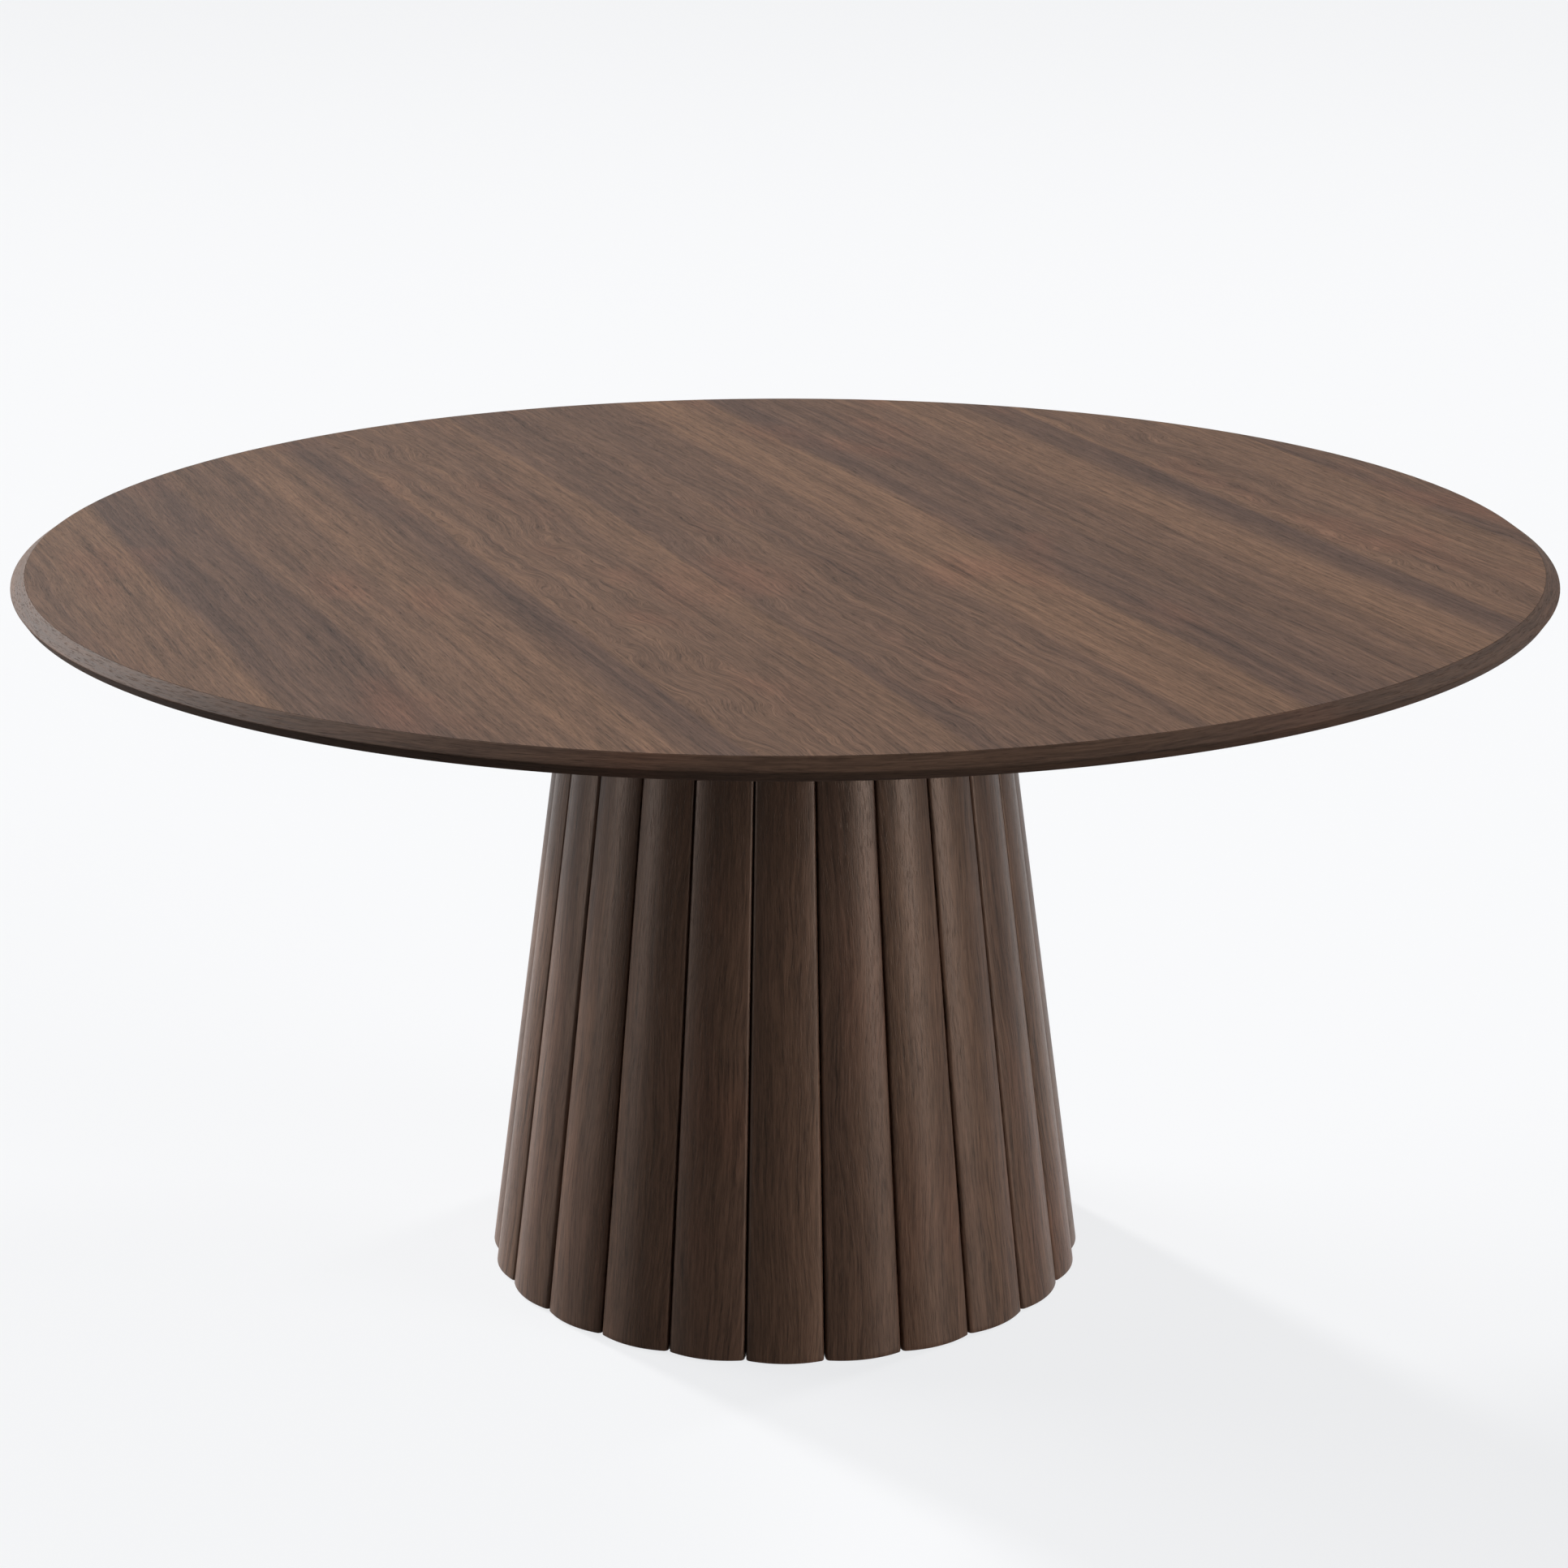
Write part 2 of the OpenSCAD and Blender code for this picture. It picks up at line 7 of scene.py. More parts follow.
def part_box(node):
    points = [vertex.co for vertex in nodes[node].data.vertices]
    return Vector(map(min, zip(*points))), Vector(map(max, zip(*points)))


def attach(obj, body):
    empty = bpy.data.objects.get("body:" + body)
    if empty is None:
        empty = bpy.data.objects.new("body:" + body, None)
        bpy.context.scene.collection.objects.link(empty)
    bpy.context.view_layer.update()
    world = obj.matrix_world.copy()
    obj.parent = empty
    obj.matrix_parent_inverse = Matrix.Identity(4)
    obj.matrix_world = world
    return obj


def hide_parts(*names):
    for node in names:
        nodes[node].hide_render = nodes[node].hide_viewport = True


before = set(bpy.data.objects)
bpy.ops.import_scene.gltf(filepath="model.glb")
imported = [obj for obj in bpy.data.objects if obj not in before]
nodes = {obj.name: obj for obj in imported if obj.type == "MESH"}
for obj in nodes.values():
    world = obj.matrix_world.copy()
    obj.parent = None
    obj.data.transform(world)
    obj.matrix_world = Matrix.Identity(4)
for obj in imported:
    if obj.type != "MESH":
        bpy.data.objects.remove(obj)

scene = bpy.context.scene
scene.view_settings.view_transform = "Standard"
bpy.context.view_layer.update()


# ---- Camera ----
# A long lens at standing eye height, straight in front of the table and looking down at its top.
# The whole table fits, with a little pale floor all round.

downward_turn = 0.29818

camera_data = bpy.data.cameras.new("camera")
camera_data.sensor_width = 36.0
camera_data.lens = 83.53
camera_data.clip_end = 200.0
camera = bpy.data.objects.new("camera", camera_data)
scene.collection.objects.link(camera)
camera.location = (-0.0011, -3.4996, 1.5711)
camera.rotation_euler = (pi / 2 - downward_turn, 0.0, 0.0)
scene.camera = camera


# ---- Studio floor ----
# A seamless pale floor that runs on past the view, so there is no wall line behind the table.
# It glows with a pale tone, with a painted pool of light that is palest in front of the table and greyer
# far off, and keeps a faint share of the shadows that the lamps throw.


def add(tree, kind, **settings):
    made = tree.nodes.new(kind)
    for key, value in settings.items():
        setattr(made, key, value)
    return made


def wire(tree, source, target):
    tree.links.new(source, target)


def feed(tree, target, value):
    if isinstance(value, bpy.types.NodeSocket):
        tree.links.new(value, target)
    else:
        target.default_value = value


def calc(tree, operation, first, second=0.0, clamp=False):
    made = add(tree, "ShaderNodeMath", operation=operation, use_clamp=clamp)
    feed(tree, made.inputs[0], first)
    feed(tree, made.inputs[1], second)
    return made.outputs[0]


def ease(tree, value, low, high, out_low=0.0, out_high=1.0):
    made = add(tree, "ShaderNodeMapRange", interpolation_type="SMOOTHSTEP")
    feed(tree, made.inputs["Value"], value)
    made.inputs["From Min"].default_value = low
    made.inputs["From Max"].default_value = high
    made.inputs["To Min"].default_value = out_low
    made.inputs["To Max"].default_value = out_high
    return made.outputs["Result"]


def blend_colour(tree, factor, first, second):
    made = add(tree, "ShaderNodeMix", data_type="RGBA")
    feed(tree, made.inputs[0], factor)
    feed(tree, made.inputs[6], first)
    feed(tree, made.inputs[7], second)
    return made.outputs[2]


def seen_directly(tree):
    path = add(tree, "ShaderNodeLightPath")
    mirrored = calc(tree, "MAXIMUM", path.outputs["Is Glossy Ray"], path.outputs["Is Transmission Ray"])
    return calc(tree, "MAXIMUM", path.outputs["Is Camera Ray"], mirrored)


floor_half_width = 60.0
far_tone = (0.880, 0.889, 0.905, 1.0)
near_tone = (0.945, 0.954, 0.970, 1.0)
light_pool_middle = (0.0, -2.4, 0.0)
light_pool_reach = 1.0
light_pool_end = 14.0
glow_strength = 0.815
shown_bounce = (0.135, 0.135, 0.135, 1.0)
hidden_bounce = (0.05, 0.05, 0.05, 1.0)

floor_paint = bpy.data.materials.new("studio_floor")
floor_paint.use_nodes = True
tree = floor_paint.node_tree
tree.nodes.clear()
spot = add(tree, "ShaderNodeTexCoord").outputs["Object"]
centred = add(tree, "ShaderNodeMapping")
centred.inputs["Location"].default_value = light_pool_middle
wire(tree, spot, centred.inputs["Vector"])
reach = add(tree, "ShaderNodeVectorMath", operation="LENGTH")
wire(tree, centred.outputs[0], reach.inputs[0])
# Painted pool of light: the floor's glow is palest near the front of the table and fades to a greyer tone
# far off.
painted_light_falloff = ease(tree, reach.outputs["Value"], light_pool_reach, light_pool_end)
seen = seen_directly(tree)
glow = add(tree, "ShaderNodeEmission")
wire(tree, blend_colour(tree, painted_light_falloff, near_tone, far_tone), glow.inputs["Color"])
wire(tree, calc(tree, "MULTIPLY", seen, glow_strength), glow.inputs["Strength"])
matt = add(tree, "ShaderNodeBsdfDiffuse")
wire(tree, blend_colour(tree, seen, hidden_bounce, shown_bounce), matt.inputs["Color"])
both = add(tree, "ShaderNodeAddShader")
wire(tree, glow.outputs[0], both.inputs[0])
wire(tree, matt.outputs[0], both.inputs[1])
clear = add(tree, "ShaderNodeBsdfTransparent")
sides = add(tree, "ShaderNodeMixShader")
wire(tree, add(tree, "ShaderNodeNewGeometry").outputs["Backfacing"], sides.inputs[0])
wire(tree, both.outputs[0], sides.inputs[1])
wire(tree, clear.outputs[0], sides.inputs[2])
wire(tree, sides.outputs[0], add(tree, "ShaderNodeOutputMaterial").inputs["Surface"])

bm = bmesh.new()
bmesh.ops.create_grid(bm, x_segments=1, y_segments=1, size=floor_half_width)
floor_mesh = bpy.data.meshes.new("studio_floor")
bm.to_mesh(floor_mesh)
bm.free()
floor_mesh.materials.append(floor_paint)
floor = bpy.data.objects.new("studio_floor", floor_mesh)
scene.collection.objects.link(floor)


# ---- Room light and lamps ----
# A dim even room with a pale wall low down and a darker ceiling. A strong lamp stands behind on the
# left and a weaker one behind on the right, with a wide soft one low on either side. Two strips
# close to the floor give only sheen, mostly on the flutes.

room_strength = 0.075
ceiling_tone = (0.26, 0.26, 0.27, 1.0)
ceiling_start = 0.12
ceiling_full = 0.42
lamp_distance = 6.0

room = bpy.data.worlds.new("room")
scene.world = room
room.use_nodes = True
tree = room.node_tree
tree.nodes.clear()
dim = add(tree, "ShaderNodeBackground")
dim.inputs["Color"].default_value = (1.0, 1.0, 1.02, 1.0)
dim.inputs["Strength"].default_value = room_strength
way = add(tree, "ShaderNodeSeparateXYZ")
wire(tree, add(tree, "ShaderNodeTexCoord").outputs["Object"], way.inputs[0])
mirrored = add(tree, "ShaderNodeLightPath").outputs["Is Glossy Ray"]
overhead = calc(tree, "MULTIPLY", ease(tree, way.outputs["Z"], ceiling_start, ceiling_full), mirrored)
pale = add(tree, "ShaderNodeBackground")
wire(tree, blend_colour(tree, overhead, far_tone, ceiling_tone), pale.inputs["Color"])
pale.inputs["Strength"].default_value = 1.0
pick = add(tree, "ShaderNodeMixShader")
wire(tree, seen_directly(tree), pick.inputs[0])
wire(tree, dim.outputs[0], pick.inputs[1])
wire(tree, pale.outputs[0], pick.inputs[2])
wire(tree, pick.outputs[0], add(tree, "ShaderNodeOutputWorld").inputs["Surface"])


def lamp(name, bearing, height, strength, softness):
    data = bpy.data.lights.new(name, "SUN")
    data.energy = strength
    data.angle = radians(softness)
    made = bpy.data.objects.new(name, data)
    turn = radians(bearing)
    level = cos(radians(height))
    towards = Vector((sin(turn) * level, -cos(turn) * level, sin(radians(height))))
    made.rotation_euler = towards.to_track_quat("Z", "Y").to_euler()
    made.location = towards * lamp_distance
    scene.collection.objects.link(made)
    return made


lamp("lamp_back_left", bearing=-141.0, height=27.0, strength=3.75, softness=6.0)
lamp("lamp_left", bearing=-117.0, height=23.0, strength=2.45, softness=30.0)
lamp("lamp_back_right", bearing=131.0, height=35.0, strength=1.45, softness=8.0)
lamp("lamp_right", bearing=64.0, height=18.0, strength=1.45, softness=26.0)
sheen_right = lamp("sheen_right", bearing=58.0, height=1.0, strength=5.0, softness=18.0)
sheen_left = lamp("sheen_left", bearing=-79.0, height=1.0, strength=2.3, softness=12.0)
for strip in (sheen_right, sheen_left):
    strip.visible_diffuse = False


# ---- Table top panel ----
# A round board faced with walnut leaves, some plain and some figured, laid at a slant across the
# table. The leaves come from one flitch, so their run of tones repeats across the top. Satin lacquer.

grain = bpy.data.node_groups.new("walnut_grain", "ShaderNodeTree")
sockets = grain.interface
sockets.new_socket("Place", in_out="INPUT", socket_type="NodeSocketVector")
for label in ("Tone", "Figure", "Streaks", "Fibres", "Pores", "Matt"):
    sockets.new_socket(label, in_out="INPUT", socket_type="NodeSocketFloat")
for label in ("Dark", "Light", "Blush"):
    sockets.new_socket(label, in_out="INPUT", socket_type="NodeSocketColor")
sockets.new_socket("Color", in_out="OUTPUT", socket_type="NodeSocketColor")
sockets.new_socket("Height", in_out="OUTPUT", socket_type="NodeSocketFloat")
sockets.new_socket("Roughness", in_out="OUTPUT", socket_type="NodeSocketFloat")
blush_share = 0.45
fibre_share = 1.25
thread_share = 0.80
streak_shade = 0.35
pore_depth = 0.55
pore_matt = 0.12
fibre_matt = 0.10
tree = grain
given = add(tree, "NodeGroupInput")
given_place = given.outputs["Place"]


def noise(tree, place, across, along, detail=2.0, rough=0.5):
    stretched = add(tree, "ShaderNodeVectorMath", operation="MULTIPLY")
    wire(tree, place, stretched.inputs[0])
    stretched.inputs[1].default_value = (across, along, across)
    made = add(tree, "ShaderNodeTexNoise")
    made.inputs["Scale"].default_value = 1.0
    made.inputs["Detail"].default_value = detail
    made.inputs["Roughness"].default_value = rough
    wire(tree, stretched.outputs[0], made.inputs["Vector"])
    return made.outputs["Fac"]


def off_centre(tree, value, amount):
    return calc(tree, "MULTIPLY", calc(tree, "SUBTRACT", value, 0.5), amount)


drift = off_centre(tree, noise(tree, given_place, across=3.0, along=1.3), 0.045)
wobble = off_centre(tree, noise(tree, given_place, across=26.0, along=6.0), 0.007)
curl = off_centre(tree, noise(tree, given_place, across=12.0, along=5.5, detail=3.0, rough=0.55), 0.10)
curl = calc(tree, "MULTIPLY", curl, given.outputs["Figure"])
shift = add(tree, "ShaderNodeCombineXYZ")
wire(tree, calc(tree, "ADD", calc(tree, "ADD", drift, wobble), curl), shift.inputs["X"])
bent = add(tree, "ShaderNodeVectorMath", operation="ADD")
wire(tree, given_place, bent.inputs[0])
wire(tree, shift.outputs[0], bent.inputs[1])
line = bent.outputs[0]

streak = off_centre(tree, noise(tree, line, across=38.0, along=0.9, detail=4.0, rough=0.68), 1.0)
thread = off_centre(tree, noise(tree, line, across=150.0, along=3.0, detail=4.0, rough=0.75), 1.0)
fibre = off_centre(tree, noise(tree, line, across=480.0, along=20.0, detail=3.0, rough=0.8), 1.0)
pore = ease(tree, noise(tree, line, across=1150.0, along=75.0, detail=1.0), 0.56, 0.70)
patch = ease(tree, noise(tree, given_place, across=8.0, along=3.5), 0.54, 0.74)

lift = calc(tree, "MULTIPLY", streak, given.outputs["Streaks"])
tone = calc(tree, "ADD", given.outputs["Tone"], lift, clamp=True)
colour = blend_colour(tree, tone, given.outputs["Dark"], given.outputs["Light"])
colour = blend_colour(tree, calc(tree, "MULTIPLY", patch, blush_share), colour, given.outputs["Blush"])
fine_lines = calc(tree, "MULTIPLY", fibre, fibre_share)
texture = calc(tree, "ADD", fine_lines, calc(tree, "MULTIPLY", thread, thread_share))
shade = calc(tree, "ADD", 1.0, calc(tree, "MULTIPLY", texture, given.outputs["Fibres"]))
shade = calc(tree, "ADD", shade, calc(tree, "MULTIPLY", lift, streak_shade))
shade = calc(tree, "SUBTRACT", shade, calc(tree, "MULTIPLY", pore, given.outputs["Pores"]))
shaded = add(tree, "ShaderNodeVectorMath", operation="SCALE")
wire(tree, colour, shaded.inputs[0])
wire(tree, shade, shaded.inputs["Scale"])
height = calc(tree, "SUBTRACT", texture, calc(tree, "MULTIPLY", pore, pore_depth))
rough = calc(tree, "ADD", given.outputs["Matt"], calc(tree, "MULTIPLY", pore, pore_matt))
rough = calc(tree, "ADD", rough, calc(tree, "MULTIPLY", fibre, fibre_matt))
result = add(tree, "NodeGroupOutput")
wire(tree, shaded.outputs[0], result.inputs["Color"])
wire(tree, height, result.inputs["Height"])
wire(tree, rough, result.inputs["Roughness"])


def new_finish(name, sheen=0.10):
    made = bpy.data.materials.new(name)
    made.use_nodes = True
    tree = made.node_tree
    surface = tree.nodes["Principled BSDF"]
    surface.inputs["Specular IOR Level"].default_value = sheen
    return made, tree, surface


def emboss(tree, surface, height, depth):
    relief = add(tree, "ShaderNodeBump")
    relief.inputs["Strength"].default_value = 1.0
    relief.inputs["Distance"].default_value = depth
    wire(tree, height, relief.inputs["Height"])
    wire(tree, relief.outputs[0], surface.inputs["Normal"])


def wood(tree, surface, place, tone, colours, **character):
    made = add(tree, "ShaderNodeGroup", node_tree=grain)
    wire(tree, place, made.inputs["Place"])
    feed(tree, made.inputs["Tone"], tone)
    for socket, value in character.items():
        feed(tree, made.inputs[socket], value)
    for socket, value in zip(("Dark", "Light", "Blush"), colours):
        feed(tree, made.inputs[socket], (*value, 1.0))
    wire(tree, made.outputs["Color"], surface.inputs["Base Color"])
    wire(tree, made.outputs["Roughness"], surface.inputs["Roughness"])
    emboss(tree, surface, made.outputs["Height"], grain_depth)


grain_depth = 0.00012
walnut_dark = (0.073, 0.044, 0.033)
walnut_light = (0.130, 0.074, 0.046)
walnut_blush = (0.142, 0.066, 0.042)
walnut_colours = (walnut_dark, walnut_light, walnut_blush)
grain_slant = radians(22.0)
flitch_width = 0.79
flitch_start = 0.10
leaf_wander = 0.040
full_figure = 0.65
faint_figure = 0.35

veneer, tree, surface = new_finish("top_veneer", sheen=0.07)
turned = add(tree, "ShaderNodeMapping")
turned.inputs["Rotation"].default_value = (0.0, 0.0, -grain_slant)
wire(tree, add(tree, "ShaderNodeTexCoord").outputs["Object"], turned.inputs["Vector"])
parts = add(tree, "ShaderNodeSeparateXYZ")
wire(tree, turned.outputs[0], parts.inputs[0])
lean = noise(tree, turned.outputs[0], across=2.6, along=1.7, detail=3.0, rough=0.55)
across = calc(tree, "ADD", parts.outputs["X"], off_centre(tree, lean, leaf_wander))
through = calc(tree, "DIVIDE", calc(tree, "SUBTRACT", across, flitch_start), flitch_width)
through = calc(tree, "FLOORED_MODULO", through, 1.0)
leaves = add(tree, "ShaderNodeValToRGB")
leaves.color_ramp.interpolation = "LINEAR"
leaf_tones = [
    (0.000, 0.85), (0.098, 0.90), (0.112, 0.16), (0.230, 0.22), (0.245, 0.46), (0.340, 0.50),
    (0.356, 0.82), (0.420, 0.78), (0.452, 0.16), (0.496, 0.10), (0.504, 0.66), (0.618, 0.60),
    (0.634, 0.55), (0.718, 0.80), (0.726, 0.26), (0.850, 0.46), (0.968, 0.40), (0.990, 0.72),
]
ramp = leaves.color_ramp
ramp.elements[0].position = leaf_tones[0][0]
ramp.elements[1].position = leaf_tones[1][0]
for leaf in leaf_tones[2:]:
    ramp.elements.new(leaf[0])
for stop, leaf in zip(ramp.elements, leaf_tones):
    stop.color = (leaf[1], leaf[1], leaf[1], 1.0)
wire(tree, through, leaves.inputs["Fac"])
figured_from = ease(tree, through, 0.500, 0.515)
figured_to = ease(tree, through, 0.600, 0.640, 1.0, 0.0)
figured = calc(tree, "MULTIPLY", figured_from, figured_to)
faint_from = ease(tree, through, 0.722, 0.740, 0.0, faint_figure)
faint_to = ease(tree, through, 0.94, 0.98, 1.0, 0.0)
faint = calc(tree, "MULTIPLY", faint_from, faint_to)
figure = calc(tree, "ADD", calc(tree, "MULTIPLY", figured, full_figure), faint)
wood(tree, surface, turned.outputs[0], leaves.outputs["Color"], walnut_colours,
     Figure=figure, Streaks=1.35, Fibres=1.65, Pores=0.22, Matt=0.62)
nodes["top_panel"].material_slots[0].material = veneer


# ---- Solid lipping ----
# A solid walnut edge glued round the board, bevelled above and below to a thin line.
# It is turned to shape, its arrises eased with fine paper, and its grain runs round the rim.

panel_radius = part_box("top_panel")[1].x
rim_low, rim_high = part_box("top_lipping")
rim_radius = rim_high.x
face_bevel = 0.010
under_bevel = 0.006
line_z = rim_high.z - face_bevel
rim_steps = 288
flat_margin = 0.0016
line_easing = 0.0009
under_easing = 0.0006
joint_easing = 0.0004
weld = 0.000005
same_place = 0.0002
rim_tone = 0.42


def settle(bm, name, body, finish, replaced, corner):
    bmesh.ops.remove_doubles(bm, verts=bm.verts, dist=weld)
    bmesh.ops.recalc_face_normals(bm, faces=bm.faces)
    mesh = bpy.data.meshes.new(name)
    bm.to_mesh(mesh)
    bm.free()
    mesh.polygons.foreach_set("use_smooth", [True] * len(mesh.polygons))
    mesh.set_sharp_from_angle(angle=radians(corner))
    mesh.materials.append(finish)
    made = bpy.data.objects.new(name, mesh)
    scene.collection.objects.link(made)
    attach(made, body)
    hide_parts(*replaced)


def soften(bm, edges, width, segments=3):
    bmesh.ops.bevel(bm, geom=edges, offset=width, offset_type="OFFSET", segments=segments, profile=0.5,
                    affect="EDGES", material=-1, clamp_overlap=True)


def ring_edges(bm, radius, height):
    found = []
    for edge in bm.edges:
        on_radius = all(abs(v.co.xy.length - radius) < same_place for v in edge.verts)
        if on_radius and all(abs(v.co.z - height) < same_place for v in edge.verts):
            found.append(edge)
    return found


bm = bmesh.new()
corners = [
    (panel_radius, rim_low.z), (rim_radius - under_bevel, rim_low.z),
    (rim_radius, line_z), (panel_radius, rim_high.z),
]
section = []
for number, (x, z) in enumerate(corners):
    here = Vector((x, 0.0, z))
    next_x, next_z = corners[(number + 1) % len(corners)]
    onward = Vector((next_x, 0.0, next_z))
    along = (onward - here).normalized() * flat_margin
    section.extend(bm.verts.new(point) for point in (here, here + along, onward - along))
outline = []
for number, corner in enumerate(section):
    outline.append(bm.edges.new((corner, section[(number + 1) % len(section)])))
bmesh.ops.spin(bm, geom=section + outline, cent=(0, 0, 0), axis=(0, 0, 1), angle=2 * pi,
               steps=rim_steps, use_merge=True)
bmesh.ops.remove_doubles(bm, verts=bm.verts, dist=weld)
soften(bm, ring_edges(bm, rim_radius, line_z), line_easing)
soften(bm, ring_edges(bm, rim_radius - under_bevel, rim_low.z), under_easing)
soften(bm, ring_edges(bm, panel_radius, rim_high.z), joint_easing, segments=2)

edge_walnut, tree, surface = new_finish("edge_walnut", sheen=0.05)
parts = add(tree, "ShaderNodeSeparateXYZ")
wire(tree, add(tree, "ShaderNodeTexCoord").outputs["Object"], parts.inputs[0])


def round_the_middle(tree, parts):
    backwards = calc(tree, "MULTIPLY", parts.outputs["Y"], -1.0)
    turn = calc(tree, "ARCTAN2", parts.outputs["X"], backwards)
    x_square = calc(tree, "POWER", parts.outputs["X"], 2.0)
    y_square = calc(tree, "POWER", backwards, 2.0)
    return turn, calc(tree, "SQRT", calc(tree, "ADD", x_square, y_square))


turn, distance = round_the_middle(tree, parts)
place = add(tree, "ShaderNodeCombineXYZ")
wire(tree, distance, place.inputs["X"])
wire(tree, calc(tree, "MULTIPLY", turn, rim_radius), place.inputs["Y"])
wire(tree, parts.outputs["Z"], place.inputs["Z"])
wood(tree, surface, place.outputs[0], rim_tone, walnut_colours,
     Figure=0.0, Streaks=1.0, Fibres=1.4, Pores=0.22, Matt=0.62)
settle(bm, "lipping_ring", "top", edge_walnut, ["top_lipping"], corner=25.0)


# ---- Fluted staves ----
# Twenty-four tapered solid walnut staves stand edge to edge round the core, each with one round flute.
# They are planed to a common slope, glued on, and their feet lightly rounded.

stave_count = 24
pitch = 2 * pi / stave_count
half_pitch = pi / stave_count
foot_radius = 0.304
head_radius = 0.212
valley_radius = 0.29825
stave_back = 0.2778
foot_round = 0.0015
foot_line = 0.005
head_line = 0.003
stave_low, stave_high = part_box("stave_01")
slope = (1.0 - head_radius / foot_radius) / stave_high.z
half_width = valley_radius * sin(half_pitch)
rise = foot_radius - valley_radius * cos(half_pitch)
flute_radius = (half_width ** 2 + rise ** 2) / (2 * rise)
flute_middle = foot_radius - flute_radius
flute_steps = 24
gap_half = 0.0007
shoulder = 0.0048
shoulder_steps = 8
inside = flute_middle * sin(half_pitch) - gap_half - shoulder
shoulder_turn = half_pitch + asin(inside / (flute_radius - shoulder))
shoulder_sweep = pi / 2 + half_pitch - shoulder_turn
shoulder_x = (flute_radius - shoulder) * sin(shoulder_turn)
shoulder_y = -flute_middle - (flute_radius - shoulder) * cos(shoulder_turn)
sheen_tint = (1.0, 0.74, 0.60, 1.0)
flattened = 0.08
own_board_across = 9.0
own_board_along = 31.0
middle_tone = 0.42
tone_spread = 0.12
same_level = 0.00001
front_only = stave_back + 0.005

fluted, tree, surface = new_finish("fluted_walnut", sheen=0.17)
surface.inputs["Specular Tint"].default_value = sheen_tint
parts = add(tree, "ShaderNodeSeparateXYZ")
wire(tree, add(tree, "ShaderNodeTexCoord").outputs["Object"], parts.inputs[0])
turn, distance = round_the_middle(tree, parts)
number = calc(tree, "ROUND", calc(tree, "DIVIDE", turn, pitch))
off_crown = calc(tree, "SUBTRACT", turn, calc(tree, "MULTIPLY", number, pitch))
flat = calc(tree, "MULTIPLY", off_crown, distance)
own = add(tree, "ShaderNodeTexWhiteNoise", noise_dimensions="1D")
wire(tree, calc(tree, "FLOORED_MODULO", number, float(stave_count)), own.inputs["W"])
luck = own.outputs["Value"]
place = add(tree, "ShaderNodeCombineXYZ")
shift_across = calc(tree, "MULTIPLY", luck, own_board_across)
shift_along = calc(tree, "MULTIPLY", luck, own_board_along)
wire(tree, calc(tree, "ADD", flat, shift_across), place.inputs["X"])
wire(tree, calc(tree, "ADD", parts.outputs["Z"], shift_along), place.inputs["Y"])
wire(tree, calc(tree, "MULTIPLY", distance, flattened), place.inputs["Z"])
stave_tone = calc(tree, "ADD", middle_tone, off_centre(tree, luck, tone_spread))
stave_colours = ((0.086, 0.048, 0.035), (0.158, 0.088, 0.053), (0.152, 0.071, 0.045))
wood(tree, surface, place.outputs[0], stave_tone, stave_colours,
     Figure=0.15, Streaks=0.80, Fibres=2.3, Pores=0.20, Matt=0.36)

for count in range(stave_count):
    bm = bmesh.new()
    start_x = -shoulder_x - shoulder * cos(half_pitch)
    tip = bm.verts.new((start_x, shoulder_y + shoulder * sin(half_pitch), 0.0))
    turns = [
        (-shoulder_x, shoulder_y, shoulder_sweep, shoulder_steps),
        (0.0, -flute_middle, 2 * shoulder_turn, flute_steps),
        (shoulder_x, shoulder_y, shoulder_sweep, shoulder_steps),
    ]
    for middle_x, middle_y, sweep, steps in turns:
        swept = bmesh.ops.spin(bm, geom=[tip], cent=(middle_x, middle_y, 0.0), axis=(0, 0, 1),
                               angle=sweep, steps=steps, use_merge=False)
        tip = swept["geom_last"][0]
    for side in (1.0, -1.0):
        bm.verts.new((side * stave_back * sin(half_pitch), -stave_back * cos(half_pitch), 0.0))
    base = bm.faces.new(bm.verts[:])
    near_foot = 1.0 - slope * stave_low.z
    bmesh.ops.scale(bm, verts=bm.verts, vec=(near_foot, near_foot, 1.0))
    bmesh.ops.translate(bm, verts=bm.verts, vec=(0.0, 0.0, stave_low.z))
    grown = bmesh.ops.extrude_face_region(bm, geom=[base], use_keep_orig=True)
    lifted = [g for g in grown["geom"] if isinstance(g, bmesh.types.BMVert)]
    bmesh.ops.translate(bm, verts=lifted, vec=(0.0, 0.0, stave_high.z - stave_low.z))
    at_head = (1.0 - slope * stave_high.z) / near_foot
    bmesh.ops.scale(bm, verts=lifted, vec=(at_head, at_head, 1.0))
    foot_edges = []
    for edge in bm.edges:
        low = all(abs(v.co.z - stave_low.z) < same_level for v in edge.verts)
        if low and all(v.co.xy.length > front_only for v in edge.verts):
            foot_edges.append(edge)
    soften(bm, foot_edges, foot_round)
    for level in (stave_low.z + foot_line, stave_high.z - head_line):
        everything = bm.verts[:] + bm.edges[:] + bm.faces[:]
        bmesh.ops.bisect_plane(bm, geom=everything, plane_co=(0.0, 0.0, level), plane_no=(0.0, 0.0, 1.0))
    bmesh.ops.rotate(bm, verts=bm.verts, cent=(0, 0, 0), matrix=Matrix.Rotation(count * pitch, 3, "Z"))
    name = "stave_" + str(count + 1).zfill(2)
    settle(bm, name + "_fluted", "pedestal", fluted, [name], corner=40.0)


# ---- Bearers, head block and cap board ----
# Straight-grained dark-stained hardwood: two bearers screwed under the top, and the block
# that carries the pivot, bolted down through the cap board.

